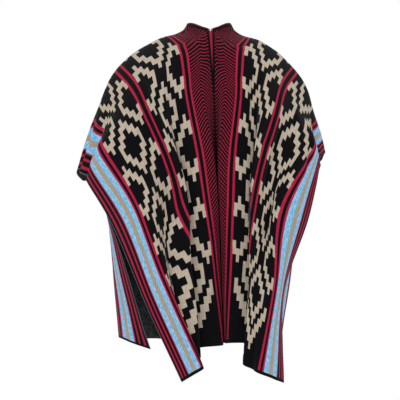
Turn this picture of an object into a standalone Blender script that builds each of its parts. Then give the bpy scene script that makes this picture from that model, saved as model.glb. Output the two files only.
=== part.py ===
# Knitted poncho as worn: one wall of cloth that hangs from the shoulders, open at neck, sides and hem.
# Millimetres in the tables, metres in Blender. The front faces -Y, the wearer's left is +X, +Z is up.
# The origin lies between the two sides of the neck, at the height of the shoulder line.
from collections import namedtuple

import bpy
import numpy as np

MM = 0.001

# Driving dimensions of the flat cut
HALF_WIDTH = 470.0      # centre line to side edge
HALF_LENGTH = 880.0     # shoulder line to hem
BAND_HALF = 82.0        # half width of the middle stripes
PLEAT_FLOOR = 10.0      # half width of the floor of the middle pleat
WALL = 2.4              # thickness of the knit
SEAM_GAP = 0.3          # between pieces that are sewn together
SLIT_BACK = 0.115       # where the neck slit ends, as a share of the half length
SLIT_FRONT = 0.18
EDGING_RADIUS = 1.6     # rolled edging of the neck slit
EDGING_WIDTH = 6.2      # cloth given to the edging
EDGING_SIDES = 8

# Fineness of the mesh
COLUMNS = 30            # quads from centre line to side edge
ROWS = (12, 10, 9, 17)  # quads from front hem to slit, shoulder line, end of slit and back hem

# Soft rounding of the folds
FINE = 16               # steps from one fold line to the next
THREADS = 236           # points along a row, about 2 mm apart
SOFTENING = 8           # times that the row is evened out

# Shares of the half length at which the garment's sections are given
FRONT_STATIONS = (-1.0, -0.5, -0.25, -0.115)
BACK_STATIONS = (0.115, 0.25, 0.5, 0.75, 1.0)

# Shoulder line, from the neck out over the upper arm: flat distance, x, y, z
SHOULDER = namedtuple("Shoulder", "s x y z")
SHOULDER_LEFT = (
    SHOULDER(0, 57, 0, 3),
    SHOULDER(10, 64, 0, -5),
    SHOULDER(82, 107, 0, -20),
    SHOULDER(212, 235, 0, -96),
    SHOULDER(240, 253, -2, -120),
    SHOULDER(367, 305, -14, -241),
    SHOULDER(470, 350, -44, -374),
)
SHOULDER_RIGHT = (
    SHOULDER(0, -57, 0, 3),
    SHOULDER(10, -63, 0, -5),
    SHOULDER(82, -104, 0, -21),
    SHOULDER(212, -225, 0, -101),
    SHOULDER(240, -241, -2, -119),
    SHOULDER(367, -284, -12, -242),
    SHOULDER(470, -308, -38, -330),
)

# Centre line, shared by both panels: share of the half length, x, half opening of the slit, y, z
CENTRE = namedtuple("Centre", "share x opening y z")
CENTRE_LINE = (
    CENTRE(-1.0, 0, 0, -166, -842),
    CENTRE(-0.5, 0, 0, -150, -400),
    CENTRE(-0.25, 0, 0, -128, -170),
    CENTRE(-0.18, 0, 0, -108, -106),
    CENTRE(-0.115, 0, 33, -78, -56),
    CENTRE(-0.05, 0, 54, -38, -10),
    CENTRE(0.0, 0, 57, 0, 8),
    CENTRE(0.05, -2, 44, 42, 8),
    CENTRE(0.09, -3, 22, 68, -3),
    CENTRE(0.115, -4, 0, 80, -14),
    CENTRE(0.18, -7, 0, 99, -66),
    CENTRE(0.25, -11, 0, 104, -143),
    CENTRE(0.5, -20, 0, 98, -375),
    CENTRE(0.75, -31, 0, 76, -604),
    CENTRE(1.0, -41, 0, 60, -832),
)

# Folds of the back, a row for each line that runs from the shoulder to the hem.
# First its flat distance from the centre line at the shoulder, elbow, low section and hem, then x and y
# by section.
Fold = namedtuple("Fold", "name s_top s_elbow s_low s_hem yoke chest elbow low hem hem_z")
BACK_LEFT = (
    Fold("pleat mouth", 14, 39, 42, 76, (10, 84), (12, 112), (-18, 131), (-29, 100), (-36, 104), -834),
    Fold("inner crease", 112, 104, 118, 134, (104, 82), (86, 118), (46, 130), (22, 134), (12, 136), -836),
    Fold("inner valley", 136, 138, 165, 192, (120, 80), (110, 122), (82, 114), (84, 126), (74, 142), -850),
    Fold("middle crest", 168, 192, 260, 284, (156, 80), (134, 134), (60, 152), (42, 162), (18, 172), -860),
    Fold("side valley", 262, 262, 304, 326, (228, 62), (190, 112), (112, 130), (102, 156), (62, 184), -878),
    Fold("side crest", 340, 350, 364, 376, (268, 46), (258, 102), (170, 154), (102, 180), (12, 204), -884),
    Fold("border middle", 405, 410, 418, 424, (292, 50), (300, 94), (208, 150), (134, 190), (44, 210), -904),
    Fold("side edge", 470, 470, 470, 470, (316, 36), (318, 70), (247, 118), (163, 174), (71, 198), -921),
)
BACK_RIGHT = (
    Fold("pleat mouth", 14, 39, 42, 58, (-18, 84), (-34, 112), (-23, 131), (-33, 100), (-40, 104), -829),
    Fold("inner crease", 116, 118, 122, 130, (-124, 80), (-112, 114), (-101, 132), (-97, 136), (-84, 140), -825),
    Fold("inner valley", 140, 158, 184, 210, (-140, 78), (-126, 114), (-132, 114), (-150, 124), (-150, 150), -846),
    Fold("middle crest", 166, 200, 250, 284, (-160, 80), (-140, 138), (-104, 158), (-102, 174), (-86, 192), -876),
    Fold("side valley", 290, 290, 306, 330, (-236, 54), (-216, 100), (-158, 132), (-124, 166), (-108, 193), -887),
    Fold("side crest", 350, 355, 360, 367, (-266, 44), (-270, 84), (-174, 150), (-158, 174), (-122, 208), -896),
    Fold("border middle", 405, 410, 414, 418, (-278, 34), (-282, 68), (-228, 132), (-184, 152), (-162, 208), -911),
    Fold("side edge", 470, 470, 470, 470, (-286, 12), (-290, 44), (-260, 90), (-194, 96), (-190, 176), -925),
)

# Folds of the front: flat distance at the hem, then x and y by section, hem first
FrontFold = namedtuple("FrontFold", "name s_hem hem waist chest yoke hem_z")
FRONT_LEFT = (
    FrontFold("pleat mouth", 50, (47, -180), (49, -158), (26, -126), (44, -82), -843),
    FrontFold("inner crease", 112, (98, -148), (108, -140), (98, -110), (92, -74), -840),
    FrontFold("inner valley", 168, (134, -186), (158, -150), (118, -108), (112, -72), -838),
    FrontFold("middle crest", 226, (168, -140), (206, -116), (150, -98), (146, -68), -834),
    FrontFold("side valley", 292, (212, -118), (248, -106), (228, -80), (232, -56), -830),
    FrontFold("side crest", 356, (240, -44), (272, -72), (276, -86), (286, -64), -824),
    FrontFold("border middle", 412, (208, 24), (276, -32), (304, -88), (318, -74), -832),
    FrontFold("side edge", 470, (154, 66), (262, 14), (320, -88), (342, -84), -848),
)
FRONT_RIGHT = (
    FrontFold("pleat mouth", 50, (-47, -180), (-49, -158), (-26, -126), (-44, -82), -843),
    FrontFold("inner crease", 112, (-92, -138), (-104, -134), (-98, -110), (-92, -74), -840),
    FrontFold("inner valley", 168, (-126, -180), (-150, -152), (-118, -108), (-112, -72), -838),
    FrontFold("middle crest", 226, (-146, -124), (-192, -112), (-150, -98), (-146, -68), -835),
    FrontFold("side valley", 292, (-184, -84), (-232, -92), (-226, -80), (-222, -56), -832),
    FrontFold("side crest", 356, (-192, -20), (-244, -38), (-258, -80), (-264, -60), -830),
    FrontFold("border middle", 412, (-178, 34), (-238, 8), (-270, -72), (-286, -66), -834),
    FrontFold("side edge", 470, (-150, 82), (-222, 48), (-274, -62), (-300, -74), -838),
)

# Folds that cross the border where it lies over the arms. A fold starts at a flat distance and a share
# of the half length and runs out over the side edge at another share. A height below 0 is a valley.
ArmFold = namedtuple("ArmFold", "side s_start start end breadth height")
ARM_FOLDS = (
    ArmFold(1, 270, 0.11, 0.150, 18, 5),
    ArmFold(1, 280, 0.07, 0.098, 13, -17),
    ArmFold(1, 300, 0.04, 0.055, 13, 6),
    ArmFold(1, 310, 0.00, 0.012, 13, -17),
    ArmFold(1, 320, -0.05, -0.050, 22, 6),
    ArmFold(-1, 290, 0.10, 0.130, 18, 4),
    ArmFold(-1, 300, 0.04, 0.070, 14, -17),
    ArmFold(-1, 320, -0.01, -0.005, 16, 3),
    ArmFold(-1, 300, -0.09, -0.080, 14, -10),
)


def smooth(xs, ys, at):
    """Curve through the points without overshoot: cubic pieces with limited slopes."""
    xs = np.asarray(xs, float)
    ys = np.asarray(ys, float)
    at = np.clip(np.asarray(at, float), xs[0], xs[-1])
    step = np.diff(xs)
    rise = np.diff(ys) / step
    slope = np.zeros(len(xs))
    same = rise[:-1] * rise[1:] > 0
    w1 = 2 * step[1:] + step[:-1]
    w2 = step[1:] + 2 * step[:-1]
    with np.errstate(divide="ignore", invalid="ignore"):
        mean = (w1 + w2) / (w1 / rise[:-1] + w2 / rise[1:])
    slope[1:-1] = np.where(same, mean, 0.0)
    slope[0] = rise[0]
    slope[-1] = rise[-1]
    k = np.clip(np.searchsorted(xs, at) - 1, 0, len(step) - 1)
    t = (at - xs[k]) / step[k]
    a = (1 + 2 * t) * (1 - t) ** 2 * ys[k] + t ** 2 * (3 - 2 * t) * ys[k + 1]
    return a + step[k] * (t * (1 - t) ** 2 * slope[k] + t ** 2 * (t - 1) * slope[k + 1])


def flowing(xs, ys, at):
    """Curve through the points with slopes taken from the neighbours on both sides."""
    xs = np.asarray(xs, float)
    ys = np.asarray(ys, float)
    at = np.clip(np.asarray(at, float), xs[0], xs[-1])
    step = np.diff(xs)
    rise = np.diff(ys) / step
    slope = np.empty(len(xs))
    slope[1:-1] = (step[1:] * rise[:-1] + step[:-1] * rise[1:]) / (step[1:] + step[:-1])
    slope[0] = rise[0]
    slope[-1] = rise[-1]
    k = np.clip(np.searchsorted(xs, at) - 1, 0, len(step) - 1)
    t = (at - xs[k]) / step[k]
    a = (1 + 2 * t) * (1 - t) ** 2 * ys[k] + t ** 2 * (3 - 2 * t) * ys[k + 1]
    return a + step[k] * (t * (1 - t) ** 2 * slope[k] + t ** 2 * (t - 1) * slope[k + 1])


def drop_share(station, s):
    """How far down from shoulder line to hem a section lies: less, the further out the cloth is."""
    out = s / HALF_WIDTH
    clear_of_neck = min(s / BAND_HALF, 1.0) ** 2
    shares = {
        -0.5: 0.477 - 0.175 * out ** 2,
        -0.25: 0.20 - 0.13 * out ** 1.5,
        -0.115: 0.06,
        0.115: 0.023 + 0.032 * clear_of_neck,
        0.25: 0.175 + 0.02 * clear_of_neck - 0.13 * out ** 1.5,
        0.5: 0.46 - 0.175 * out ** 2,
        0.75: 0.735 - 0.10 * out ** 2,
    }
    return shares.get(station, 1.0)


def centre_points(shares, side, offset=0.0):
    """Edge of a panel on the centre line, which parts round the neck slit, or the pleat floor beside it."""
    at = [c.share for c in CENTRE_LINE]
    x = flowing(at, [c.x for c in CENTRE_LINE], shares)
    opening = smooth(at, [c.opening for c in CENTRE_LINE], shares)
    y = flowing(at, [c.y for c in CENTRE_LINE], shares)
    z = flowing(at, [c.z for c in CENTRE_LINE], shares)
    stand = opening / max(c.opening for c in CENTRE_LINE)
    x = x + side * (opening + offset * (1 - 0.5 * stand))
    z = z - offset * 0.75 * stand
    return np.stack([x, y, z], axis=-1)


def fold_points(shoulder, back, front, shares):
    """One fold line from front hem over the shoulder to back hem, and its flat distance."""
    along = [p.s for p in shoulder]
    top = np.array([float(smooth(along, [getattr(p, c) for p in shoulder], back.s_top)) for c in "xyz"])
    stations = []
    points = []
    sections = (front.hem, front.waist, front.chest, front.yoke)
    for station, (x, y) in zip(FRONT_STATIONS, sections):
        z = top[2] + (front.hem_z - top[2]) * drop_share(station, back.s_top)
        stations.append(station)
        points.append((x, y, z))
    stations.append(0.0)
    points.append(tuple(top))
    sections = (back.yoke, back.chest, back.elbow, back.low, back.hem)
    for station, (x, y) in zip(BACK_STATIONS, sections):
        z = top[2] + (back.hem_z - top[2]) * drop_share(station, back.s_top)
        stations.append(station)
        points.append((x, y, z))
    points = np.array(points)
    fine = np.linspace(-1.0, 1.0, 161)
    line = np.stack([flowing(stations, points[:, c], fine) for c in range(3)], axis=-1)
    even = even_shares(fine, line)
    line = np.stack([np.interp(shares, even, line[:, c]) for c in range(3)], axis=-1)
    knots = (-1.0, 0.0, 0.5, 0.75, 1.0)
    flat = smooth(knots, (front.s_hem, back.s_top, back.s_elbow, back.s_low, back.s_hem), shares)
    return line, flat


def even_shares(fine, line):
    """Shares that run evenly along a line, so that the knit is stretched alike from shoulder to hem."""
    travelled = np.concatenate([[0.0], np.cumsum(np.linalg.norm(np.diff(line, axis=0), axis=1))])
    middle = len(fine) // 2
    front = (travelled[:middle] - travelled[middle]) / travelled[middle]
    back = (travelled[middle:] - travelled[middle]) / (travelled[-1] - travelled[middle])
    return np.concatenate([front, back])


def soft_row(flats, points, at):
    """One row of the cloth through the fold lines, stretched evenly between them, with its folds rounded."""
    fine = np.concatenate([np.linspace(a, b, FINE + 1)[:-1] for a, b in zip(flats, flats[1:])] + [flats[-1:]])
    curve = np.stack([smooth(flats, points[:, c], fine) for c in range(3)], axis=-1)
    travelled = np.concatenate([[0.0], np.cumsum(np.linalg.norm(np.diff(curve, axis=0), axis=1))])
    even = np.linspace(0.0, travelled[-1], THREADS)
    thread = np.stack([np.interp(even, travelled, curve[:, c]) for c in range(3)], axis=-1)
    for turn in range(SOFTENING):
        thread[1:-1] = (thread[:-2] + 2 * thread[1:-1] + thread[2:]) / 4
    wanted = smooth(flats, travelled[::FINE], at)
    return np.stack([np.interp(wanted, even, thread[:, c]) for c in range(3)], axis=-1)


def arm_push(side, shares, across):
    """How far the folds over the arm push each point sideways, outward above 0."""
    push = np.zeros(across.shape)
    for fold in ARM_FOLDS:
        if fold.side != side:
            continue
        reach = np.clip((across - fold.s_start) / (HALF_WIDTH - fold.s_start), 0.0, 1.0)
        line = fold.start + (fold.end - fold.start) * reach
        away = (shares[:, None] - line) * HALF_LENGTH / fold.breadth
        push += fold.height * np.sin(reach * np.pi / 2) ** 2 * np.exp(-away ** 2)
    return push


def cloth(side, shares, across):
    """Middle surface of one panel: a grid of points, shares of the length by flat distances."""
    shoulder, back, front = (
        (SHOULDER_LEFT, BACK_LEFT, FRONT_LEFT) if side > 0 else (SHOULDER_RIGHT, BACK_RIGHT, FRONT_RIGHT)
    )
    lines = [centre_points(shares, side), centre_points(shares, side, PLEAT_FLOOR)]
    flats = [np.zeros(len(shares)), np.full(len(shares), PLEAT_FLOOR)]
    for back_fold, front_fold in zip(back, front):
        line, flat = fold_points(shoulder, back_fold, front_fold, shares)
        lines.append(line)
        flats.append(flat)
    lines = np.array(lines)
    flats = np.array(flats)
    grid = np.empty((len(shares), across.shape[1], 3))
    for row in range(len(shares)):
        grid[row] = soft_row(flats[:, row], lines[:, row], across[row])
    grid[..., 0] += side * arm_push(side, shares, across)
    return grid


def outward(grid, side):
    """Unit normals of the grid that point away from the body."""
    along = np.gradient(grid, axis=0)
    over = np.gradient(grid, axis=1)
    normal = side * np.cross(over, along)
    return normal / np.linalg.norm(normal, axis=-1, keepdims=True)


def row_shares():
    """Shares of the half length at which the mesh has its rows, front hem first."""
    ends = (-1.0, -SLIT_FRONT, 0.0, SLIT_BACK, 1.0)
    parts = [np.linspace(a, b, n + 1)[:-1] for a, b, n in zip(ends, ends[1:], ROWS)]
    return np.concatenate(parts + [[1.0]])


def along_slit(shares):
    """True for the rows whose edge is given to the neck edging."""
    return (shares >= -SLIT_FRONT) & (shares <= SLIT_BACK)


def panel(name, side):
    """One half of the poncho: the cloth from the centre line to the side edge, front hem to back hem."""
    shares = row_shares()
    slit = along_slit(shares)
    inner = np.where(slit, EDGING_WIDTH, 0.0)
    steps = np.linspace(0.0, 1.0, COLUMNS + 1)
    across = inner[:, None] + (HALF_WIDTH - inner[:, None]) * steps[None, :]
    grid = cloth(side, shares, across)
    normal = outward(grid, side)
    normal[~slit, 0, 0] = 0.0
    normal /= np.linalg.norm(normal, axis=-1, keepdims=True)
    grid[~slit, 0, 0] += side * SEAM_GAP / 2
    return closed_sheet(name, grid + normal * WALL / 2, grid - normal * WALL / 2, side)


def edging(name, side):
    """Rolled edging along one side of the neck slit: a round tube a little off the panel's edge."""
    shares = row_shares()
    shares = shares[along_slit(shares)]
    path = cloth(side, shares, np.full((len(shares), 1), EDGING_WIDTH * 0.37))[:, 0]
    along = np.gradient(path, axis=0)
    along /= np.linalg.norm(along, axis=1, keepdims=True)
    level = np.cross(along, (0.0, 0.0, 1.0))
    level /= np.linalg.norm(level, axis=1, keepdims=True)
    lift = np.cross(level, along)
    turns = np.arange(EDGING_SIDES) * 2 * np.pi / EDGING_SIDES
    rings = [p + EDGING_RADIUS * (np.cos(turns)[:, None] * b + np.sin(turns)[:, None] * a)
             for p, a, b in zip(path, level, lift)]
    points = np.concatenate(rings) * MM
    faces = [tuple(range(EDGING_SIDES))[::-1]]
    for ring in range(len(rings) - 1):
        for k in range(EDGING_SIDES):
            start = ring * EDGING_SIDES
            turn = (k + 1) % EDGING_SIDES
            faces.append((start + k, start + turn, start + EDGING_SIDES + turn, start + EDGING_SIDES + k))
    faces.append(tuple(range(len(points) - EDGING_SIDES, len(points))))
    return new_piece(name, points, faces)


def new_piece(name, points, faces):
    """Link a smooth shaded mesh object."""
    mesh = bpy.data.meshes.new(name)
    mesh.from_pydata(points.tolist(), [], faces)
    mesh.update()
    mesh.shade_smooth()
    piece = bpy.data.objects.new(name, mesh)
    bpy.context.collection.objects.link(piece)
    return piece


def closed_sheet(name, outer, inner, side):
    """Closed mesh from an outer and an inner grid of the same size."""
    rows, columns = outer.shape[:2]
    points = np.concatenate([outer.reshape(-1, 3), inner.reshape(-1, 3)]) * MM
    layer = rows * columns

    def at(r, c, k):
        return k * layer + r * columns + c

    faces = []
    for r in range(rows - 1):
        for c in range(columns - 1):
            quad = (at(r, c, 0), at(r, c + 1, 0), at(r + 1, c + 1, 0), at(r + 1, c, 0))
            under = (at(r, c, 1), at(r + 1, c, 1), at(r + 1, c + 1, 1), at(r, c + 1, 1))
            faces += [quad, under]
    for r in range(rows - 1):
        faces.append((at(r, 0, 0), at(r + 1, 0, 0), at(r + 1, 0, 1), at(r, 0, 1)))
        last = columns - 1
        faces.append((at(r + 1, last, 0), at(r, last, 0), at(r, last, 1), at(r + 1, last, 1)))
    for c in range(columns - 1):
        faces.append((at(0, c + 1, 0), at(0, c, 0), at(0, c, 1), at(0, c + 1, 1)))
        last = rows - 1
        faces.append((at(last, c, 0), at(last, c + 1, 0), at(last, c + 1, 1), at(last, c, 1)))
    if side < 0:
        faces = [face[::-1] for face in faces]
    return new_piece(name, points, faces)


def finish(piece, colour, roughness):
    """Give a piece its own plain material."""
    material = bpy.data.materials.new(piece.name)
    material.use_nodes = True
    shader = material.node_tree.nodes["Principled BSDF"]
    shader.inputs["Base Color"].default_value = (*colour, 1.0)
    shader.inputs["Roughness"].default_value = roughness
    shader.inputs["Metallic"].default_value = 0.0
    piece.data.materials.append(material)


for old in list(bpy.data.objects):
    bpy.data.objects.remove(old, do_unlink=True)

finish(panel("panel_left", 1), (0.075, 0.06, 0.06), 0.95)
finish(panel("panel_right", -1), (0.06, 0.055, 0.06), 0.95)
finish(edging("neck_edging_left", 1), (0.10, 0.02, 0.03), 0.95)
finish(edging("neck_edging_right", -1), (0.10, 0.02, 0.03), 0.95)
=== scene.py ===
import math
from collections import namedtuple

import bpy
import numpy as np
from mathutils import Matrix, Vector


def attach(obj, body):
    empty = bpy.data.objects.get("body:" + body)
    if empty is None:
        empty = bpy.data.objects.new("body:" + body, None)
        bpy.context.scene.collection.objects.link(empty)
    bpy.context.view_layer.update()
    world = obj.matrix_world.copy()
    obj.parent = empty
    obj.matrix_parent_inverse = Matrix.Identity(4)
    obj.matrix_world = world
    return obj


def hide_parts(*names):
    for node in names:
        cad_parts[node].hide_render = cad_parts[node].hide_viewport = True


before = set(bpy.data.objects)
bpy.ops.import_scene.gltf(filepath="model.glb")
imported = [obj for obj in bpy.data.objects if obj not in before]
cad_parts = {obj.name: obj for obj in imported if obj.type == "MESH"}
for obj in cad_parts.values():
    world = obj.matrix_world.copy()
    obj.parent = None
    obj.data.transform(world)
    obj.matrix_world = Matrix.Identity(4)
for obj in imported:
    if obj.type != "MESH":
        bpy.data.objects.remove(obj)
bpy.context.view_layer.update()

# The studio
# A plain pale floor and a white surround, lit softly from all round, as for a catalogue picture.
# The camera stands behind the garment, level with its middle.
CAMERA_AWAY = 5.0
SENSOR_WIDTH = 36.0
PICTURE_WIDTH = 1.04        # breadth of the picture at the cloth of the back
BACK_PLANE = 0.10
AIM = (0.0234, -0.4576)     # x and z of the middle of the picture
LAMP_AIM = (0.0, 0.0, -0.45)
FLOOR_BELOW = 1.50          # from the shoulder line down to the floor
FLOOR_HALF = 3.0
FLOOR_GREY = (0.86, 0.86, 0.86, 1.0)
FLOOR_ROUGHNESS = 0.8
WHITE = (1.0, 1.0, 1.0, 1.0)

scene = bpy.context.scene
scene.view_settings.view_transform = "Standard"

camera_data = bpy.data.cameras.new("camera")
camera_data.sensor_width = SENSOR_WIDTH
camera_data.lens = SENSOR_WIDTH * (CAMERA_AWAY - BACK_PLANE) / PICTURE_WIDTH
camera = bpy.data.objects.new("camera", camera_data)
camera.location = (AIM[0], CAMERA_AWAY, AIM[1])
camera.rotation_euler = (math.radians(90), 0.0, math.radians(180))
scene.collection.objects.link(camera)
scene.camera = camera

world = bpy.data.worlds.new("white surround")
world.use_nodes = True
surround = world.node_tree.nodes["Background"]
surround.inputs["Color"].default_value = WHITE
surround.inputs["Strength"].default_value = 1.0
scene.world = world

floor_mesh = bpy.data.meshes.new("floor")
corners = [(x * FLOOR_HALF, y * FLOOR_HALF, 0.0) for x, y in ((-1, -1), (1, -1), (1, 1), (-1, 1))]
floor_mesh.from_pydata(corners, [], [(0, 1, 2, 3)])
floor = bpy.data.objects.new("floor", floor_mesh)
floor.location = (0.0, 0.0, -FLOOR_BELOW)
scene.collection.objects.link(floor)
floor_paint = bpy.data.materials.new("floor paint")
floor_paint.use_nodes = True
floor_shader = floor_paint.node_tree.nodes["Principled BSDF"]
floor_shader.inputs["Base Color"].default_value = FLOOR_GREY
floor_shader.inputs["Roughness"].default_value = FLOOR_ROUGHNESS
floor_mesh.materials.append(floor_paint)

Lamp = namedtuple("Lamp", "name place size power")
LAMPS = (
    Lamp("key light", (2.2, 3.4, 1.6), 1.6, 26.0),
    Lamp("fill light", (-2.8, 2.6, 0.6), 2.0, 10.0),
    Lamp("front light", (0.5, -3.5, 1.4), 2.0, 22.0),
)
for lamp in LAMPS:
    light = bpy.data.lights.new(lamp.name, "AREA")
    light.size = lamp.size
    light.energy = lamp.power
    holder = bpy.data.objects.new(lamp.name, light)
    holder.location = lamp.place
    aim = Vector(LAMP_AIM) - holder.location
    holder.rotation_euler = aim.to_track_quat("-Z", "Y").to_euler()
    scene.collection.objects.link(holder)

# The knit
# A fine double jacquard in wool yarns: navy black, tan, crimson and light blue on the face, and a
# dark grey birdseye on the reverse. Distances are read from the cloth's own flat measure, so the
# chart of stripes, herringbone and stepped diamonds follows every fold.
HALF_WIDTH = 470.0
HALF_LENGTH = 880.0
STITCH_WIDE = 1.7
STITCH_HIGH = 1.3


def linear(red, green, blue):
    """Colour of a yarn, given as seen on a screen from 0 to 255."""
    return tuple(((v / 255 + 0.055) / 1.055) ** 2.4 if v > 10 else v / 255 / 12.92
                 for v in (red, green, blue)) + (1.0,)


NAVY = linear(7, 7, 11)
CRIMSON = linear(178, 30, 68)
DEEP_CRIMSON = linear(92, 14, 34)
TAN = linear(192, 178, 160)
BORDER_TAN = linear(172, 156, 138)
BLUE = linear(104, 190, 230)
LAVENDER = linear(186, 204, 236)
GREEN_BLACK = linear(5, 10, 8)
GREY_EDGE = linear(96, 96, 100)
REVERSE_DARK = linear(30, 30, 34)
REVERSE_GREY = linear(84, 84, 88)

# Stripes from the centre line out to the side edge: where each starts, and its yarn
Stripe = namedtuple("Stripe", "start yarn")
BORDER = (387.0, 428.0)             # light blue border near the side edge
BORDER_STRIPE = (401.0, 414.0)      # tan stripe along its middle
STRIPES = (
    Stripe(0, GREEN_BLACK), Stripe(62, CRIMSON), Stripe(67.4, GREEN_BLACK), Stripe(76, CRIMSON),
    Stripe(82, NAVY), Stripe(212, CRIMSON),
    Stripe(218, GREEN_BLACK), Stripe(222, NAVY), Stripe(227, GREEN_BLACK), Stripe(231, CRIMSON),
    Stripe(237, NAVY), Stripe(367, CRIMSON), Stripe(373, NAVY), Stripe(381, CRIMSON),
    Stripe(BORDER[0], BLUE), Stripe(BORDER_STRIPE[0], BORDER_TAN),
    Stripe(BORDER_STRIPE[1], BLUE), Stripe(BORDER[1], CRIMSON),
    Stripe(433, GREEN_BLACK), Stripe(439.5, CRIMSON), Stripe(446, GREEN_BLACK), Stripe(453.5, CRIMSON),
    Stripe(459.5, NAVY), Stripe(467, GREY_EDGE),
)

# Diamonds: stepped rings in two columns on each half, with halves of others at their sides
COLUMN_MIDDLES = (147.0, 302.0)
COLUMN_HALF = 65.0
CELL_WIDE = 10.0
CELL_HIGH = 19.8
CELLS_APART = 11.0          # from the middle of one diamond to the next
SIDE_CELLS = 5.0            # from a column's middle to the diamonds at its sides
RING = (2.5, 4.5)           # cells from a diamond's middle to the inside and outside of its ring
RING_REACH = 3.5            # cells to either side that a ring covers
DRAW_IN = 0.09              # share of a cell taken from each side of a ring
FIRST_DIAMOND = 38.0        # from the shoulder line to the middle of the first diamond and the last
LAST_DIAMOND = 691.0
LAST_RING = 92.0            # from the middle of the last diamond down to the end of its ring
OUTER_RISE = 18.0           # the outer column sits this much higher
CHEVRON = (5.5, 7.5)        # cells between which the V below the last diamonds lies

# Herringbone of the middle band: one stroke for each step along, bent at the middle of each half
HERRINGBONE_MIDDLE = 36.0
HERRINGBONE_END = 62.0
HERRINGBONE_STEP = 10.0
HERRINGBONE_SLOPE = 0.85
STROKE = 0.23               # crimson share of each step
MARGIN = (2.2, 12.0)        # plain margin along the centre line, least and most
MARGIN_AT_SHOULDER = 15.7
MARGIN_NARROWS = 0.0567     # for each millimetre from the shoulder line
WEDGE = (50.0, 178.0)       # crimson wedge down the back's centre line, from its top to its tip
WEDGE_AT_SHOULDER = 7.56    # its half width if it went up to the shoulder line
WEDGE_NARROWS = 0.0425      # for each millimetre down

MELANGE = 0.75              # share of lavender in the palest streaks of the blue border
PLAIN_HEM = 871.0


def new_group(name, inputs, outputs):
    """An empty shader node group with the named sockets."""
    group = bpy.data.node_groups.new(name, "ShaderNodeTree")
    for label, kind in inputs:
        group.interface.new_socket(name=label, in_out="INPUT", socket_type=kind)
    for label, kind in outputs:
        group.interface.new_socket(name=label, in_out="OUTPUT", socket_type=kind)
    return group, group.nodes.new("NodeGroupInput"), group.nodes.new("NodeGroupOutput")


def calc(tree, operation, *values, clamp=False):
    """One step of arithmetic in the tree, fed by sockets or numbers; gives its output socket."""
    node = tree.nodes.new("ShaderNodeMath")
    node.operation = operation
    node.use_clamp = clamp
    for socket, value in zip(node.inputs, values):
        if isinstance(value, (int, float)):
            socket.default_value = value
        else:
            tree.links.new(value, socket)
    return node.outputs[0]


def mixed(tree, amount, first, second):
    """A colour mix of two sockets or colours."""
    node = tree.nodes.new("ShaderNodeMix")
    node.data_type = "RGBA"
    fed = ((node.inputs[0], amount), (node.inputs[6], first), (node.inputs[7], second))
    for socket, value in fed:
        if isinstance(value, (int, float, tuple)):
            socket.default_value = value
        else:
            tree.links.new(value, socket)
    return node.outputs[2]


def within(tree, value, low, high):
    """1 where a value lies from low to high."""
    above = calc(tree, "GREATER_THAN", value, low)
    below = calc(tree, "LESS_THAN", value, high)
    return calc(tree, "MULTIPLY", above, below)


# The stitches, shared by the face, the reverse and the edging: each is a V of two legs of yarn
LEG_SLOPE = 1.3             # courses that a leg climbs across one wale
GROOVE_POWER = 3.0          # how sharply a leg falls off at its sides
stitches, given, result = new_group(
    "knit_stitches",
    [("Across", "NodeSocketFloat"), ("Along", "NodeSocketFloat")],
    [("Height", "NodeSocketFloat"), ("Shade", "NodeSocketFloat")],
)
wale = calc(stitches, "DIVIDE", given.outputs["Across"], STITCH_WIDE)
from_middle = calc(stitches, "SUBTRACT", calc(stitches, "FRACT", wale), 0.5)
from_middle = calc(stitches, "ABSOLUTE", from_middle)
course = calc(stitches, "DIVIDE", given.outputs["Along"], STITCH_HIGH)
leg = calc(stitches, "FRACT", calc(stitches, "MULTIPLY_ADD", from_middle, LEG_SLOPE, course))
rounding = calc(stitches, "SINE", calc(stitches, "MULTIPLY", leg, math.pi))
from_leg = calc(stitches, "ABSOLUTE", calc(stitches, "SUBTRACT", from_middle, 0.25))
fall = calc(stitches, "POWER", calc(stitches, "MULTIPLY", from_leg, 4.0), GROOVE_POWER)
height = calc(stitches, "MULTIPLY", rounding, calc(stitches, "SUBTRACT", 1.0, fall))
stitches.links.new(height, result.inputs["Height"])
yarn_cell = stitches.nodes.new("ShaderNodeCombineXYZ")
stitches.links.new(calc(stitches, "FLOOR", wale), yarn_cell.inputs[0])
stitches.links.new(calc(stitches, "FLOOR", course), yarn_cell.inputs[1])
speckle = stitches.nodes.new("ShaderNodeTexWhiteNoise")
speckle.noise_dimensions = "2D"
stitches.links.new(yarn_cell.outputs[0], speckle.inputs["Vector"])
stitches.links.new(speckle.outputs["Value"], result.inputs["Shade"])

# The chart of the face: stripes, herringbone and stepped diamonds, a colour for every stitch
chart, given, result = new_group(
    "poncho_chart",
    [("Across", "NodeSocketFloat"), ("Along", "NodeSocketFloat")],
    [("Colour", "NodeSocketColor"), ("Melange", "NodeSocketFloat")],
)
out_from_centre = calc(chart, "ABSOLUTE", given.outputs["Across"])
from_shoulder = calc(chart, "ABSOLUTE", given.outputs["Along"])
out_from_centre = calc(chart, "SNAP", out_from_centre, STITCH_WIDE / 2)
from_shoulder = calc(chart, "SNAP", from_shoulder, STITCH_HIGH / 2)

ramp = chart.nodes.new("ShaderNodeValToRGB")
ramp.color_ramp.interpolation = "CONSTANT"
ramp.color_ramp.elements.remove(ramp.color_ramp.elements[1])
ramp.color_ramp.elements[0].position = 0.0
ramp.color_ramp.elements[0].color = STRIPES[0].yarn
for stripe in STRIPES[1:]:
    ramp.color_ramp.elements.new(stripe.start / HALF_WIDTH).color = stripe.yarn
chart.links.new(calc(chart, "DIVIDE", out_from_centre, HALF_WIDTH), ramp.inputs[0])

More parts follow.
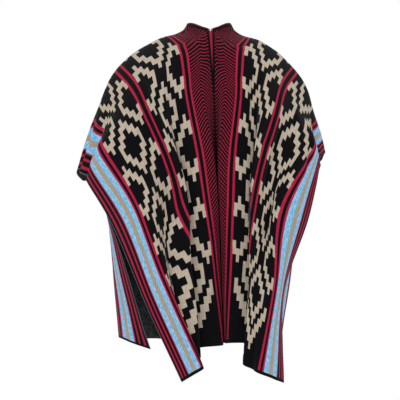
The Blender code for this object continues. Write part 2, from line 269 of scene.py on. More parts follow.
between = sum(COLUMN_MIDDLES) / 2
outer_column = calc(chart, "GREATER_THAN", out_from_centre, between)
middle = calc(
    chart, "MULTIPLY_ADD", outer_column, COLUMN_MIDDLES[1] - COLUMN_MIDDLES[0], COLUMN_MIDDLES[0])
aside = calc(chart, "ABSOLUTE", calc(chart, "SUBTRACT", out_from_centre, middle))
in_column = calc(chart, "LESS_THAN", aside, COLUMN_HALF)
cells_aside = calc(chart, "DIVIDE", aside, CELL_WIDE)
down = calc(chart, "MULTIPLY_ADD", outer_column, OUTER_RISE, from_shoulder)
cells_down = calc(chart, "DIVIDE", calc(chart, "SUBTRACT", down, FIRST_DIAMOND), CELL_HIGH)
halfway = CELLS_APART / 2
from_diamond = calc(chart, "ABSOLUTE", calc(chart, "WRAP", cells_down, halfway, -halfway))


def ring_of_steps(cells_across, cells_along):
    """1 on a diamond's stepped ring; its steps draw in a little, so that the dark gaps stay open."""
    cells_across = calc(chart, "ABSOLUTE", cells_across)
    cells_along = calc(chart, "ABSOLUTE", cells_along)
    rings = []
    for draw in (-DRAW_IN, DRAW_IN):
        across_step = calc(chart, "ROUND", calc(chart, "ADD", cells_across, draw))
        along_step = calc(chart, "ROUND", calc(chart, "ADD", cells_along, draw))
        rings.append(calc(chart, "ADD", across_step, along_step))
    outside = calc(chart, "GREATER_THAN", rings[0], RING[0])
    inside = calc(chart, "LESS_THAN", rings[1], RING[1])
    on_ring = calc(chart, "MULTIPLY", outside, inside)
    return calc(chart, "MULTIPLY", on_ring, calc(chart, "LESS_THAN", cells_across, RING_REACH - DRAW_IN))


diamond = ring_of_steps(cells_aside, from_diamond)
diamond = calc(chart, "MULTIPLY", diamond, calc(chart, "LESS_THAN", down, LAST_DIAMOND + LAST_RING))
side_diamond = ring_of_steps(
    calc(chart, "SUBTRACT", cells_aside, SIDE_CELLS), calc(chart, "SUBTRACT", halfway, from_diamond))
side_diamond = calc(chart, "MULTIPLY", side_diamond, calc(chart, "LESS_THAN", down, LAST_DIAMOND))
cell_aside = calc(chart, "ROUND", cells_aside)
cell_below = calc(chart, "DIVIDE", calc(chart, "SUBTRACT", down, LAST_DIAMOND), CELL_HIGH)
cell_below = calc(chart, "FLOOR", cell_below)
chevron = within(chart, calc(chart, "ADD", cell_aside, cell_below), *CHEVRON)
chevron = calc(chart, "MULTIPLY", chevron, calc(chart, "LESS_THAN", cell_aside, CHEVRON[0]))
chevron = calc(chart, "MULTIPLY", chevron, calc(chart, "GREATER_THAN", down, LAST_DIAMOND))
light = calc(chart, "MAXIMUM", calc(chart, "MAXIMUM", diamond, side_diamond), chevron)
light = calc(chart, "MULTIPLY", light, in_column)
colour = mixed(chart, light, ramp.outputs[0], TAN)

lean = calc(chart, "ABSOLUTE", calc(chart, "SUBTRACT", out_from_centre, HERRINGBONE_MIDDLE))
stroke = calc(chart, "MULTIPLY_ADD", lean, -HERRINGBONE_SLOPE, from_shoulder)
stroke = calc(chart, "FRACT", calc(chart, "DIVIDE", stroke, HERRINGBONE_STEP))
stroke = calc(chart, "LESS_THAN", stroke, STROKE)
margin = calc(chart, "MULTIPLY_ADD", from_shoulder, -MARGIN_NARROWS, MARGIN_AT_SHOULDER)
margin = calc(chart, "MAXIMUM", MARGIN[0], calc(chart, "MINIMUM", MARGIN[1], margin))
stroke = calc(chart, "MULTIPLY", stroke, calc(chart, "GREATER_THAN", out_from_centre, margin))
stroke = calc(chart, "MULTIPLY", stroke, calc(chart, "LESS_THAN", out_from_centre, HERRINGBONE_END))
colour = mixed(chart, stroke, colour, CRIMSON)

wedge = calc(chart, "MULTIPLY_ADD", given.outputs["Along"], -WEDGE_NARROWS, WEDGE_AT_SHOULDER)
wedge = calc(chart, "LESS_THAN", calc(chart, "ABSOLUTE", given.outputs["Across"]), wedge)
wedge = calc(chart, "MULTIPLY", wedge, within(chart, given.outputs["Along"], *WEDGE))
colour = mixed(chart, wedge, colour, CRIMSON)

hem = calc(chart, "GREATER_THAN", from_shoulder, PLAIN_HEM)
colour = mixed(chart, hem, colour, NAVY)
chart.links.new(colour, result.inputs["Colour"])
blue_border = within(chart, out_from_centre, *BORDER)
blue_border = calc(chart, "SUBTRACT", blue_border, within(chart, out_from_centre, *BORDER_STRIPE))
blue_border = calc(chart, "MULTIPLY", blue_border, calc(chart, "LESS_THAN", from_shoulder, PLAIN_HEM))
chart.links.new(calc(chart, "MULTIPLY", blue_border, MELANGE), result.inputs["Melange"])


def cloth_measure(tree):
    """Millimetres across and along the flat cloth, from the piece's own flat map."""
    flat = tree.nodes.new("ShaderNodeUVMap")
    flat.uv_map = "flat"
    split = tree.nodes.new("ShaderNodeSeparateXYZ")
    tree.links.new(flat.outputs[0], split.inputs[0])
    return [calc(tree, "MULTIPLY", split.outputs[axis], 1000.0) for axis in (0, 1)]


def placed(tree, group, across, along):
    """The group in a material, fed with the flat measure."""
    node = tree.nodes.new("ShaderNodeGroup")
    node.node_tree = group
    tree.links.new(across, node.inputs["Across"])
    tree.links.new(along, node.inputs["Along"])
    return node


# A finish: its material, node tree and shader, its stitches, and its flat measure
Finish = namedtuple("Finish", "material tree shader knit across along")
SHEEN = 0.04
SHEEN_ROUGHNESS = 0.5
SHINE = 0.08
STITCH_RELIEF = 0.6
STITCH_DEEP = 0.0005        # metres


def knit_finish(name, roughness):
    """A matte knit finish with stitches in its normal."""
    material = bpy.data.materials.new(name)
    material.use_nodes = True
    tree = material.node_tree
    shader = tree.nodes["Principled BSDF"]
    shader.inputs["Roughness"].default_value = roughness
    shader.inputs["Sheen Weight"].default_value = SHEEN
    shader.inputs["Sheen Roughness"].default_value = SHEEN_ROUGHNESS
    shader.inputs["Specular IOR Level"].default_value = SHINE
    across, along = cloth_measure(tree)
    knit = placed(tree, stitches, across, along)
    bump = tree.nodes.new("ShaderNodeBump")
    bump.inputs["Strength"].default_value = STITCH_RELIEF
    bump.inputs["Distance"].default_value = STITCH_DEEP
    tree.links.new(knit.outputs["Height"], bump.inputs["Height"])
    tree.links.new(bump.outputs["Normal"], shader.inputs["Normal"])
    return Finish(material, tree, shader, knit, across, along)


# The face: the chart's colours with painted shade between the stitches, a little painted light on
# their tops, and the faint streaks of mixed yarn along the wales, which are palest in the blue border
FACE_ROUGHNESS = 0.9
PAINTED_GROOVE_SHADE = 0.72     # painted shade: how light the yarn is painted between the stitches, and how much lighter on top
PAINTED_STITCH_LIGHT = 0.35
STREAK_WIDE = 2.8
STREAK_LONG = 12.0
STREAK_DETAIL = 2.0
STREAK_LEAST = 0.74         # how light the darkest streak is, and how much more the palest
STREAK_RANGE = 0.55
PALE_FROM = 0.4             # streaks above this take up lavender
PALE_GAIN = 4.0

face = knit_finish("face knit", FACE_ROUGHNESS)
tree = face.tree
pattern = placed(tree, chart, face.across, face.along)
streak_place = tree.nodes.new("ShaderNodeCombineXYZ")
tree.links.new(calc(tree, "DIVIDE", face.across, STREAK_WIDE), streak_place.inputs[0])
tree.links.new(calc(tree, "DIVIDE", face.along, STREAK_LONG), streak_place.inputs[1])
streaks = tree.nodes.new("ShaderNodeTexNoise")
streaks.noise_dimensions = "2D"
streaks.inputs["Scale"].default_value = 1.0
streaks.inputs["Detail"].default_value = STREAK_DETAIL
tree.links.new(streak_place.outputs[0], streaks.inputs["Vector"])
streak = streaks.outputs["Fac"]
pale = calc(tree, "MULTIPLY_ADD", streak, PALE_GAIN, -PALE_GAIN * PALE_FROM, clamp=True)
pale = calc(tree, "MULTIPLY", pale, pattern.outputs["Melange"])
heather = mixed(tree, pale, pattern.outputs["Colour"], LAVENDER)
# painted shade: the yarn is drawn darker in the grooves between the stitches and a little lighter on
# their tops
painted_stitch_shade = calc(tree, "MULTIPLY_ADD", face.knit.outputs["Height"], PAINTED_STITCH_LIGHT, PAINTED_GROOVE_SHADE)
fleck = calc(tree, "MULTIPLY_ADD", streak, STREAK_RANGE, STREAK_LEAST)
shaded = tree.nodes.new("ShaderNodeVectorMath")
shaded.operation = "SCALE"
tree.links.new(heather, shaded.inputs[0])
tree.links.new(calc(tree, "MULTIPLY", fleck, painted_stitch_shade), shaded.inputs["Scale"])
tree.links.new(shaded.outputs[0], face.shader.inputs["Base Color"])

# The reverse: single grey stitches scattered over dark ones
REVERSE_ROUGHNESS = 0.95
DARK_SHARE = 0.62

reverse = knit_finish("reverse knit", REVERSE_ROUGHNESS)
birdseye = calc(reverse.tree, "GREATER_THAN", reverse.knit.outputs["Shade"], DARK_SHARE)
grey = mixed(reverse.tree, birdseye, REVERSE_DARK, REVERSE_GREY)
reverse.tree.links.new(grey, reverse.shader.inputs["Base Color"])

# The two panels
# Left and right half of the knitted rectangle, as they hang from the shoulders: each is a shell
# 2.4 mm thick that follows the solid's own fold lines, with the smaller creases pressed in. Sizes
# are millimetres, and shares of the half length run from -1 at the front hem to 1 at the back hem.
MM = 0.001
WALL = 2.4
BAND_HALF = 82.0            # half width of the middle band
PLEAT_FLOOR = 10.0          # half width of the floor of the middle pleat
SLIT_BACK = 0.115           # shares of the half length at the ends of the neck slit
SLIT_FRONT = 0.18
EDGING_WIDTH = 6.2          # the panel starts this far from the cut edge, beside its rolled edging
STEP = 4.6                  # spacing of the shell's points
LINE_STEPS = 161            # points along a fold line

# Soft rounding of the folds
FINE = 16                   # steps from one fold line to the next
THREADS = 236               # points along a row, about 2 mm apart
SOFTENING = 8               # times that the row is evened out

FRONT_STATIONS = (-1.0, -0.5, -0.25, -0.115)
BACK_STATIONS = (0.115, 0.25, 0.5, 0.75, 1.0)

# Shoulder line, from the neck slit out to the side edge: flat distance, x, y, z
ShoulderPoint = namedtuple("ShoulderPoint", "s x y z")
SHOULDER_LEFT = (
    ShoulderPoint(0, 57, 0, 3),
    ShoulderPoint(10, 64, 0, -5),
    ShoulderPoint(82, 107, 0, -20),
    ShoulderPoint(212, 235, 0, -96),
    ShoulderPoint(240, 253, -2, -120),
    ShoulderPoint(367, 305, -14, -241),
    ShoulderPoint(470, 350, -44, -374),
)
SHOULDER_RIGHT = (
    ShoulderPoint(0, -57, 0, 3),
    ShoulderPoint(10, -63, 0, -5),
    ShoulderPoint(82, -104, 0, -21),
    ShoulderPoint(212, -225, 0, -101),
    ShoulderPoint(240, -241, -2, -119),
    ShoulderPoint(367, -284, -12, -242),
    ShoulderPoint(470, -308, -38, -330),
)

# Centre line, shared by both panels: share of the half length, x, half opening of the slit, y, z
CentrePoint = namedtuple("CentrePoint", "share x opening y z")
CENTRE_LINE = (
    CentrePoint(-1.0, 0, 0, -166, -842),
    CentrePoint(-0.5, 0, 0, -150, -400),
    CentrePoint(-0.25, 0, 0, -128, -170),
    CentrePoint(-0.18, 0, 0, -108, -106),
    CentrePoint(-0.115, 0, 33, -78, -56),
    CentrePoint(-0.05, 0, 54, -38, -10),
    CentrePoint(0.0, 0, 57, 0, 8),
    CentrePoint(0.05, -2, 44, 42, 8),
    CentrePoint(0.09, -3, 22, 68, -3),
    CentrePoint(0.115, -4, 0, 80, -14),
    CentrePoint(0.18, -7, 0, 99, -66),
    CentrePoint(0.25, -11, 0, 104, -143),
    CentrePoint(0.5, -20, 0, 98, -375),
    CentrePoint(0.75, -31, 0, 76, -604),
    CentrePoint(1.0, -41, 0, 60, -832),
)

# Folds of the back, a row for each line that runs from the shoulder to the hem: its flat distance
# from the centre line at the shoulder, elbow, low section and hem, then x and y by section, top first
Fold = namedtuple("Fold", "name s_top s_elbow s_low s_hem yoke chest elbow low hem hem_z")
BACK_LEFT = (
    Fold("pleat mouth", 14, 39, 42, 76,
         (10, 84), (12, 112), (-18, 131), (-29, 100), (-36, 104), -834),
    Fold("inner crease", 112, 104, 118, 134,
         (104, 82), (86, 118), (46, 130), (22, 134), (12, 136), -836),
    Fold("inner valley", 136, 138, 165, 192,
         (120, 80), (110, 122), (82, 114), (84, 126), (74, 142), -850),
    Fold("middle crest", 168, 192, 260, 284,
         (156, 80), (134, 134), (60, 152), (42, 162), (18, 172), -860),
    Fold("side valley", 262, 262, 304, 326,
         (228, 62), (190, 112), (112, 130), (102, 156), (62, 184), -878),
    Fold("side crest", 340, 350, 364, 376,
         (268, 46), (258, 102), (170, 154), (102, 180), (12, 204), -884),
    Fold("border middle", 405, 410, 418, 424,
         (292, 50), (300, 94), (208, 150), (134, 190), (44, 210), -904),
    Fold("side edge", 470, 470, 470, 470,
         (316, 36), (318, 70), (247, 118), (163, 174), (71, 198), -921),
)
BACK_RIGHT = (
    Fold("pleat mouth", 14, 39, 42, 58,
         (-18, 84), (-34, 112), (-23, 131), (-33, 100), (-40, 104), -829),
    Fold("inner crease", 116, 118, 122, 130,
         (-124, 80), (-112, 114), (-101, 132), (-97, 136), (-84, 140), -825),
    Fold("inner valley", 140, 158, 184, 210,
         (-140, 78), (-126, 114), (-132, 114), (-150, 124), (-150, 150), -846),
    Fold("middle crest", 166, 200, 250, 284,
         (-160, 80), (-140, 138), (-104, 158), (-102, 174), (-86, 192), -876),
    Fold("side valley", 290, 290, 306, 330,
         (-236, 54), (-216, 100), (-158, 132), (-124, 166), (-108, 193), -887),
    Fold("side crest", 350, 355, 360, 367,
         (-266, 44), (-270, 84), (-174, 150), (-158, 174), (-122, 208), -896),
    Fold("border middle", 405, 410, 414, 418,
         (-278, 34), (-282, 68), (-228, 132), (-184, 152), (-162, 208), -911),
    Fold("side edge", 470, 470, 470, 470,
         (-286, 12), (-290, 44), (-260, 90), (-194, 96), (-190, 176), -925),
)

# Folds of the front: flat distance at the hem, then x and y by section, hem first
FrontFold = namedtuple("FrontFold", "name s_hem hem waist chest yoke hem_z")
FRONT_LEFT = (
    FrontFold("pleat mouth", 50, (47, -180), (49, -158), (26, -126), (44, -82), -843),
    FrontFold("inner crease", 112, (98, -148), (108, -140), (98, -110), (92, -74), -840),
    FrontFold("inner valley", 168, (134, -186), (158, -150), (118, -108), (112, -72), -838),
    FrontFold("middle crest", 226, (168, -140), (206, -116), (150, -98), (146, -68), -834),
    FrontFold("side valley", 292, (212, -118), (248, -106), (228, -80), (232, -56), -830),
    FrontFold("side crest", 356, (240, -44), (272, -72), (276, -86), (286, -64), -824),
    FrontFold("border middle", 412, (208, 24), (276, -32), (304, -88), (318, -74), -832),
    FrontFold("side edge", 470, (154, 66), (262, 14), (320, -88), (342, -84), -848),
)
FRONT_RIGHT = (
    FrontFold("pleat mouth", 50, (-47, -180), (-49, -158), (-26, -126), (-44, -82), -843),
    FrontFold("inner crease", 112, (-92, -138), (-104, -134), (-98, -110), (-92, -74), -840),
    FrontFold("inner valley", 168, (-126, -180), (-150, -152), (-118, -108), (-112, -72), -838),
    FrontFold("middle crest", 226, (-146, -124), (-192, -112), (-150, -98), (-146, -68), -835),
    FrontFold("side valley", 292, (-184, -84), (-232, -92), (-226, -80), (-222, -56), -832),
    FrontFold("side crest", 356, (-192, -20), (-244, -38), (-258, -80), (-264, -60), -830),
    FrontFold("border middle", 412, (-178, 34), (-238, 8), (-270, -72), (-286, -66), -834),
    FrontFold("side edge", 470, (-150, 82), (-222, 48), (-274, -62), (-300, -74), -838),
)

# Folds that cross the border at the sides of the shoulders. A fold starts at a flat distance and a
# share of the half length, and runs out over the side edge at another share. A height below 0 is a
# valley.
SideFold = namedtuple("SideFold", "side s_start start end breadth height")
SIDE_FOLDS = (
    SideFold(1, 270, 0.11, 0.150, 18, 5),
    SideFold(1, 280, 0.07, 0.098, 13, -17),
    SideFold(1, 300, 0.04, 0.055, 13, 6),
    SideFold(1, 310, 0.00, 0.012, 13, -17),
    SideFold(1, 320, -0.05, -0.050, 22, 6),
    SideFold(-1, 290, 0.10, 0.130, 18, 4),
    SideFold(-1, 300, 0.04, 0.070, 14, -17),
    SideFold(-1, 320, -0.01, -0.005, 16, 3),
    SideFold(-1, 300, -0.09, -0.080, 14, -10),
)


def cubic_pieces(xs, ys, slope, at):
    """The curve through the points with the given slopes."""
    at = np.clip(np.asarray(at, float), xs[0], xs[-1])
    step = np.diff(xs)
    k = np.clip(np.searchsorted(xs, at) - 1, 0, len(step) - 1)
    t = (at - xs[k]) / step[k]
    through = (1 + 2 * t) * (1 - t) ** 2 * ys[k] + t ** 2 * (3 - 2 * t) * ys[k + 1]
    return through + step[k] * (t * (1 - t) ** 2 * slope[k] + t ** 2 * (t - 1) * slope[k + 1])


def smooth(xs, ys, at):
    """Curve through the points without overshoot: cubic pieces with limited slopes."""
    xs = np.asarray(xs, float)
    ys = np.asarray(ys, float)
    step = np.diff(xs)
    rise = np.diff(ys) / step
    slope = np.zeros(len(xs))
    same = rise[:-1] * rise[1:] > 0
    w1 = 2 * step[1:] + step[:-1]
    w2 = step[1:] + 2 * step[:-1]
    with np.errstate(divide="ignore", invalid="ignore"):
        mean = (w1 + w2) / (w1 / rise[:-1] + w2 / rise[1:])
    slope[1:-1] = np.where(same, mean, 0.0)
    slope[0] = rise[0]
    slope[-1] = rise[-1]
    return cubic_pieces(xs, ys, slope, at)


def flowing(xs, ys, at):
    """Curve through the points with slopes taken from the neighbours on both sides."""
    xs = np.asarray(xs, float)
    ys = np.asarray(ys, float)
    step = np.diff(xs)
    rise = np.diff(ys) / step
    slope = np.empty(len(xs))
    slope[1:-1] = (step[1:] * rise[:-1] + step[:-1] * rise[1:]) / (step[1:] + step[:-1])
    slope[0] = rise[0]
    slope[-1] = rise[-1]
    return cubic_pieces(xs, ys, slope, at)


# How far down from the shoulder line to the hem each section lies: its share at the centre line,
# what is added clear of the neck, and what is lost by the side edge, with the power it grows by
Drop = namedtuple("Drop", "share clear_of_neck lost power")
DROPS = {
    -1.0: Drop(1.0, 0.0, 0.0, 1.0),
    -0.5: Drop(0.477, 0.0, 0.175, 2.0),
    -0.25: Drop(0.20, 0.0, 0.13, 1.5),
    -0.115: Drop(0.06, 0.0, 0.0, 1.0),
    0.115: Drop(0.023, 0.032, 0.0, 1.0),
    0.25: Drop(0.175, 0.02, 0.13, 1.5),
    0.5: Drop(0.46, 0.0, 0.175, 2.0),
    0.75: Drop(0.735, 0.0, 0.10, 2.0),
    1.0: Drop(1.0, 0.0, 0.0, 1.0),
}


def drop_share(station, s):
    """How far down a section lies at a flat distance from the centre line."""
    drop = DROPS[station]
    clear = min(s / BAND_HALF, 1.0) ** 2
    return drop.share + drop.clear_of_neck * clear - drop.lost * (s / HALF_WIDTH) ** drop.power


FLOOR_DRAWN_IN = 0.5        # share of the pleat floor's width that is lost where the slit is open
FLOOR_DROP = 0.75           # how far its edge falls there, as a share of its width


def centre_points(shares, side, offset=0.0):
    """A panel's edge on the centre line, parted round the neck slit, or the pleat floor beside it."""
    at = [c.share for c in CENTRE_LINE]
    x = flowing(at, [c.x for c in CENTRE_LINE], shares)
    opening = smooth(at, [c.opening for c in CENTRE_LINE], shares)
    y = flowing(at, [c.y for c in CENTRE_LINE], shares)
    z = flowing(at, [c.z for c in CENTRE_LINE], shares)
    stand = opening / max(c.opening for c in CENTRE_LINE)
    x = x + side * (opening + offset * (1 - FLOOR_DRAWN_IN * stand))
    z = z - offset * FLOOR_DROP * stand
    return np.stack([x, y, z], axis=-1)


FLAT_STATIONS = (-1.0, 0.0, 0.5, 0.75, 1.0)     # where a fold's flat distance is given


def fold_points(shoulder, back, front, shares):
    """One fold line from front hem over the shoulder to back hem, and its flat distance."""
    along = [p.s for p in shoulder]
    ways = ([getattr(p, c) for p in shoulder] for c in "xyz")
    top = np.array([float(smooth(along, way, back.s_top)) for way in ways])
    stations = []
    points = []
    sections = (front.hem, front.waist, front.chest, front.yoke)
    for station, (x, y) in zip(FRONT_STATIONS, sections):
        z = top[2] + (front.hem_z - top[2]) * drop_share(station, back.s_top)
        stations.append(station)
        points.append((x, y, z))
    stations.append(0.0)
    points.append(tuple(top))
    sections = (back.yoke, back.chest, back.elbow, back.low, back.hem)
    for station, (x, y) in zip(BACK_STATIONS, sections):
        z = top[2] + (back.hem_z - top[2]) * drop_share(station, back.s_top)
        stations.append(station)
        points.append((x, y, z))
    points = np.array(points)
    fine = np.linspace(-1.0, 1.0, LINE_STEPS)
    line = np.stack([flowing(stations, points[:, c], fine) for c in range(3)], axis=-1)
    even = even_shares(fine, line)
    line = np.stack([np.interp(shares, even, line[:, c]) for c in range(3)], axis=-1)
    distances = (front.s_hem, back.s_top, back.s_elbow, back.s_low, back.s_hem)
    flat = smooth(FLAT_STATIONS, distances, shares)
    return line, flat


def way_along(line):
    """How far along a line each of its points lies."""
    return np.concatenate([[0.0], np.cumsum(np.linalg.norm(np.diff(line, axis=0), axis=1))])


def even_shares(fine, line):
    """Shares that run evenly along a line, so that the knit is stretched alike from shoulder to hem."""
    travelled = way_along(line)
    middle = len(fine) // 2
    front = (travelled[:middle] - travelled[middle]) / travelled[middle]
    back = (travelled[middle:] - travelled[middle]) / (travelled[-1] - travelled[middle])
    return np.concatenate([front, back])


def soft_row(flats, points, at):
    """One row of the cloth through the fold lines, stretched evenly between them, its folds rounded."""
    spans = [np.linspace(a, b, FINE + 1)[:-1] for a, b in zip(flats, flats[1:])]
    fine = np.concatenate(spans + [flats[-1:]])
    curve = np.stack([smooth(flats, points[:, c], fine) for c in range(3)], axis=-1)
    travelled = way_along(curve)
    even = np.linspace(0.0, travelled[-1], THREADS)
    thread = np.stack([np.interp(even, travelled, curve[:, c]) for c in range(3)], axis=-1)
    for turn in range(SOFTENING):
        thread[1:-1] = (thread[:-2] + 2 * thread[1:-1] + thread[2:]) / 4
    wanted = smooth(flats, travelled[::FINE], at)
    return np.stack([np.interp(wanted, even, thread[:, c]) for c in range(3)], axis=-1)


def side_push(side, shares, across):
    """How far the side folds push each point sideways, outward above 0."""
    push = np.zeros(across.shape)
    for fold in SIDE_FOLDS:
        if fold.side != side:
            continue
        reach = np.clip((across - fold.s_start) / (HALF_WIDTH - fold.s_start), 0.0, 1.0)
        line = fold.start + (fold.end - fold.start) * reach
        away = (shares[:, None] - line) * HALF_LENGTH / fold.breadth
        push += fold.height * np.sin(reach * np.pi / 2) ** 2 * np.exp(-away ** 2)
    return push


def cloth(side, shares, across):
    """Middle surface of one panel: a grid of points, shares of the length by flat distances."""
    if side > 0:
        shoulder, back, front = SHOULDER_LEFT, BACK_LEFT, FRONT_LEFT
    else:
        shoulder, back, front = SHOULDER_RIGHT, BACK_RIGHT, FRONT_RIGHT
    lines = [centre_points(shares, side), centre_points(shares, side, PLEAT_FLOOR)]
    flats = [np.zeros(len(shares)), np.full(len(shares), PLEAT_FLOOR)]
    for back_fold, front_fold in zip(back, front):
        line, flat = fold_points(shoulder, back_fold, front_fold, shares)
        lines.append(line)
        flats.append(flat)
    lines = np.array(lines)
    flats = np.array(flats)
    grid = np.empty((len(shares), across.shape[1], 3))
    for row in range(len(shares)):
        grid[row] = soft_row(flats[:, row], lines[:, row], across[row])
    grid[..., 0] += side * side_push(side, shares, across)
    return grid


def outward(grid, side):
    """Unit normals of the grid that point out from the garment."""
    along = np.gradient(grid, axis=0)
    over = np.gradient(grid, axis=1)
    normal = side * np.cross(over, along)
    return normal / np.linalg.norm(normal, axis=-1, keepdims=True)


# Small creases pressed into the cloth: half, flat distance and share of the half length at both
# ends, breadth and depth; a negative depth is a ridge
CREASE_FADE = 0.8           # power by which a crease fades out towards its ends
Crease = namedtuple("Crease", "side s_start u_start s_end u_end breadth depth")
CREASES = (
    Crease(1, 128, 0.16, 112, 0.46, 9, 6),
    Crease(1, 150, 0.20, 150, 0.60, 12, -4),
    Crease(1, 300, 0.30, 240, 0.62, 14, 9),
    Crease(1, 340, 0.26, 300, 0.52, 12, -4),
    Crease(1, 270, 0.12, 300, 0.40, 20, -6),
    Crease(1, 205, 0.10, 190, 0.42, 14, 6),
    Crease(1, 240, 0.30, 268, 0.12, 10, 5),
    Crease(1, 330, 0.66, 300, 0.98, 12, -5),
    Crease(1, 186, 0.60, 176, 0.96, 8, 4),
    Crease(-1, 112, 0.10, 122, 0.44, 9, 6),
    Crease(-1, 178, 0.20, 168, 0.52, 9, 5),
    Crease(-1, 262, 0.22, 258, 0.50, 10, 9),
    Crease(-1, 320, 0.40, 290, 0.62, 12, 7),
    Crease(-1, 226, 0.10, 236, 0.40, 16, -5),
    Crease(-1, 330, 0.14, 392, 0.26, 12, 7),
    Crease(-1, 270, 0.10, 330, 0.22, 14, -4),
    Crease(-1, 340, 0.66, 330, 0.94, 10, 4),
    Crease(1, 150, -0.20, 128, -0.70, 20, 6),
    Crease(1, 250, -0.16, 230, -0.60, 22, 6),
    Crease(1, 330, -0.20, 350, -0.55, 18, 6),
    Crease(1, 90, -0.30, 96, -0.86, 16, 5),
    Crease(-1, 160, -0.18, 140, -0.66, 20, 6),
    Crease(-1, 262, -0.20, 236, -0.64, 22, 7),
    Crease(-1, 340, -0.18, 362, -0.50, 18, 6),
    Crease(-1, 84, -0.34, 92, -0.88, 16, 5),
)


def crease_depth(side, across, shares):
    """How deep all creases together press into each point of the grid, in millimetres."""
    along = shares[:, None] * HALF_LENGTH
    total = np.zeros(across.shape)
    for crease in CREASES:
        if crease.side != side:
            continue
        run_s = crease.s_end - crease.s_start
        run_u = (crease.u_end - crease.u_start) * HALF_LENGTH
        length = math.hypot(run_s, run_u)
        from_s = across - crease.s_start
        from_u = along - crease.u_start * HALF_LENGTH
        reach = (from_s * run_s + from_u * run_u) / length ** 2
        beside = (from_s * run_u - from_u * run_s) / length
        fade = np.sin(np.pi * np.clip(reach, 0, 1)) ** CREASE_FADE
        total += crease.depth * fade * np.exp(-(beside / crease.breadth) ** 2)
    return total


# Slow waves of soft knit: height, length of one radian across and along the cloth, and the shift
# between the two halves. The hem's wave comes in over a stretch above each hem.
Wave = namedtuple("Wave", "height across along shift")
WAVES = (Wave(0.7, 23.0, 71.0, 1.0), Wave(0.5, 37.0, -49.0, 0.0))
HEM_WAVE = Wave(1.6, 15.0, math.inf, 1.3)
HEM_WAVE_FROM = 780.0
HEM_WAVE_FADE = 100.0


def wander(across, shares, side):
    """The slight unevenness of soft knit: slow waves of about a millimetre, stronger at the hems."""
    along = shares[:, None] * HALF_LENGTH
    slow, cross, at_hem = (
        wave.height * np.sin(across / wave.across + along / wave.along + wave.shift * side)
        for wave in (*WAVES, HEM_WAVE)
    )
    hem = np.clip((np.abs(along) - HEM_WAVE_FROM) / HEM_WAVE_FADE, 0.0, 1.0)
    return slow + cross + hem * at_hem


# The rows of stitches of the middle band droop towards the centre line near the neck. The droop
# ends at a share of the half length in front and behind, and fades in from there.
DROOP = 36.0
DROOP_FRONT = 0.4
DROOP_FRONT_FADE = 0.3
DROOP_BACK = 0.37
DROOP_BACK_FADE = 0.2


def droop(across, shares):
    """How far down the cloth each point's row of stitches is drawn, in millimetres."""
    behind = np.clip((DROOP_BACK - shares) / DROOP_BACK_FADE, 0.0, 1.0)
    before = np.clip((shares + DROOP_FRONT) / DROOP_FRONT_FADE, 0.0, 1.0)
    near_neck = behind * before
    return DROOP * near_neck[:, None] * np.clip(1.0 - across / BAND_HALF, 0.0, 1.0)


def knitted_grid():
    """The grid of a panel: shares of the half length, which rows run beside the slit, flat distances."""
    ends = (-1.0, -SLIT_FRONT, 0.0, SLIT_BACK, 1.0)
    counts = [round((b - a) * HALF_LENGTH / STEP) for a, b in zip(ends, ends[1:])]
    runs = [np.linspace(a, b, n + 1)[:-1] for a, b, n in zip(ends, ends[1:], counts)]
    shares = np.concatenate(runs + [[1.0]])
    slit = (shares >= -SLIT_FRONT) & (shares <= SLIT_BACK)
    inner = np.where(slit, EDGING_WIDTH, 0.0)
    steps = np.linspace(0.0, 1.0, round(HALF_WIDTH / STEP) + 1)
    across = inner[:, None] + (HALF_WIDTH - inner[:, None]) * steps[None, :]
    return shares, slit, across


def rim_places(rows, columns):
    """Rows and columns of the grid's points round its rim, in order."""
    rim = [(0, c) for c in range(columns - 1, 0, -1)]
    rim += [(r, 0) for r in range(rows - 1)]
    rim += [(rows - 1, c) for c in range(columns - 1)]
    rim += [(r, columns - 1) for r in range(rows - 1, 0, -1)]
    return np.array(rim).T


def shell_faces(rows, columns, rim_rows, rim_columns):
    """Faces of the outer layer, the lining, and the rim's two strips, which meet at its round edge."""
    layer = rows * columns
    index = np.arange(layer).reshape(rows, columns)
    corners = (index[:-1, :-1], index[:-1, 1:], index[1:, 1:], index[1:, :-1])
    outer = np.stack(corners, axis=-1).reshape(-1, 4)
    lining = outer[:, ::-1] + layer
    here = rim_rows * columns + rim_columns
    there = np.roll(here, -1)
    edge = 2 * layer + np.arange(len(rim_rows))
    next_edge = np.roll(edge, -1)
    top = np.stack([here, there, next_edge, edge], axis=-1)
    bottom = np.stack([edge, next_edge, there + layer, here + layer], axis=-1)
    return outer, lining, np.concatenate([top, bottom])


RIM_ROUND = 0.45            # how far the round edge stands out, as a share of the wall


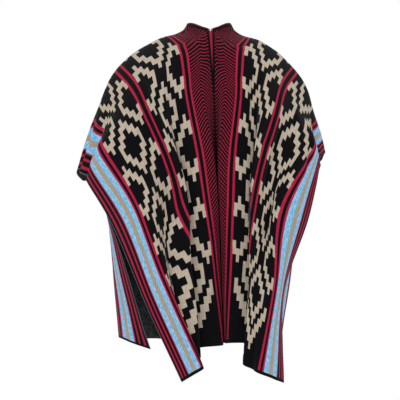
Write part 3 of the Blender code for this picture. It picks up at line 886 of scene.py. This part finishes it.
def shell(name, side):
    """One panel as a closed shell with round edges, its flat map in a UV layer."""
    shares, slit, across = knitted_grid()
    grid = cloth(side, shares, across)
    pressed = crease_depth(side, across, shares) + wander(across, shares, side)
    grid -= outward(grid, side) * pressed[..., None]
    normal = outward(grid, side)
    normal[~slit, 0, 0] = 0.0
    normal /= np.linalg.norm(normal, axis=-1, keepdims=True)
    centre = centre_points(shares, side)
    grid[~slit, 0, 0] = centre[~slit, 0]
    outer = grid + normal * WALL / 2
    lining = grid - normal * WALL / 2
    rows, columns = across.shape
    flat = np.stack([side * across, shares[:, None] * HALF_LENGTH - droop(across, shares)], axis=-1)

    rim_rows, rim_columns = rim_places(rows, columns)
    edge = grid[rim_rows, rim_columns]
    away = edge - grid[np.clip(rim_rows, 1, rows - 2), np.clip(rim_columns, 1, columns - 2)]
    away /= np.linalg.norm(away, axis=1, keepdims=True)
    joined = (rim_columns == 0) & ~slit[rim_rows]
    away[joined] = 0.0
    edge = edge + away * WALL * RIM_ROUND
    points = np.concatenate([outer.reshape(-1, 3), lining.reshape(-1, 3), edge]) * MM
    flats = np.concatenate([flat.reshape(-1, 2)] * 2 + [flat[rim_rows, rim_columns]]) * MM

    outer_faces, lining_faces, rim_faces = shell_faces(rows, columns, rim_rows, rim_columns)
    faces = np.concatenate([outer_faces, lining_faces, rim_faces])
    if side < 0:
        faces = faces[:, ::-1]
    mesh = bpy.data.meshes.new(name)
    mesh.from_pydata(points.tolist(), [], faces.tolist())
    uv = mesh.uv_layers.new(name="flat")
    loops = np.empty(len(mesh.loops), dtype=np.int32)
    mesh.loops.foreach_get("vertex_index", loops)
    uv.data.foreach_set("uv", flats[loops].astype(np.float32).ravel())
    mesh.materials.append(face.material)
    mesh.materials.append(reverse.material)
    is_reverse = np.zeros(len(faces), dtype=np.int32)
    is_reverse[len(outer_faces):len(outer_faces) + len(lining_faces)] = 1
    mesh.polygons.foreach_set("material_index", is_reverse)
    mesh.shade_smooth()
    mesh.update()
    piece = bpy.data.objects.new(name, mesh)
    scene.collection.objects.link(piece)
    return piece


for name, side in (("panel_left", 1), ("panel_right", -1)):
    piece = shell("knit_" + name, side)
    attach(piece, "root")
    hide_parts(name)

# The neck edging
# Each side of the neck slit is finished with a rolled edging of crimson and dark crimson yarn,
# knitted on along the cut edge. It is a soft cord less than 4 mm thick with fine cross ribs.
EDGING_RADIUS = 1.6
EDGING_SIDES = 12
EDGING_RINGS = 140
EDGING_PLACE = 0.37         # its middle, as a share of the way from the cut edge to the panel
EDGING_SIDE = 0.9           # flat width of one of its sides
RIB_STEP = 3.2
RIB_DEPTH = 0.07            # as a share of the radius

edging = knit_finish("edging knit", FACE_ROUGHNESS)
rib = calc(edging.tree, "FRACT", calc(edging.tree, "DIVIDE", edging.along, 2 * RIB_STEP))
rib = calc(edging.tree, "GREATER_THAN", rib, 0.5)
ribbed = mixed(edging.tree, rib, DEEP_CRIMSON, CRIMSON)
edging.tree.links.new(ribbed, edging.shader.inputs["Base Color"])


def rolled_edging(name, side):
    """A round roll along one side of the slit, a little off the panel's edge."""
    shares = np.linspace(-SLIT_FRONT, SLIT_BACK, EDGING_RINGS)
    path = cloth(side, shares, np.full((EDGING_RINGS, 1), EDGING_WIDTH * EDGING_PLACE))[:, 0]
    forward = np.gradient(path, axis=0)
    forward /= np.linalg.norm(forward, axis=1, keepdims=True)
    level = np.cross(forward, (0.0, 0.0, 1.0))
    level /= np.linalg.norm(level, axis=1, keepdims=True)
    lift = np.cross(level, forward)
    turns = np.arange(EDGING_SIDES) * 2 * math.pi / EDGING_SIDES
    points = []
    for share, p, a, b in zip(shares, path, lift, level):
        swell = math.cos(share * HALF_LENGTH * 2 * math.pi / RIB_STEP)
        radius = EDGING_RADIUS * (1.0 - RIB_DEPTH + RIB_DEPTH * swell)
        points += [p + radius * (math.cos(t) * a + math.sin(t) * b) for t in turns]
    faces = [tuple(range(EDGING_SIDES))[::-1]]
    for ring in range(EDGING_RINGS - 1):
        start = ring * EDGING_SIDES
        ahead = start + EDGING_SIDES
        for k in range(EDGING_SIDES):
            turn = (k + 1) % EDGING_SIDES
            faces.append((start + k, start + turn, ahead + turn, ahead + k))
    faces.append(tuple(range(len(points) - EDGING_SIDES, len(points))))
    mesh = bpy.data.meshes.new(name)
    mesh.from_pydata((np.array(points) * MM).tolist(), [], faces)
    uv = mesh.uv_layers.new(name="flat")
    for loop in mesh.loops:
        ring, k = divmod(loop.vertex_index, EDGING_SIDES)
        uv.data[loop.index].uv = (k * EDGING_SIDE * MM, shares[ring] * HALF_LENGTH * MM)
    mesh.materials.append(edging.material)
    mesh.shade_smooth()
    piece = bpy.data.objects.new(name, mesh)
    scene.collection.objects.link(piece)
    return piece


for name, side in (("neck_edging_left", 1), ("neck_edging_right", -1)):
    piece = rolled_edging("rolled_" + name, side)
    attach(piece, "root")
    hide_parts(name)
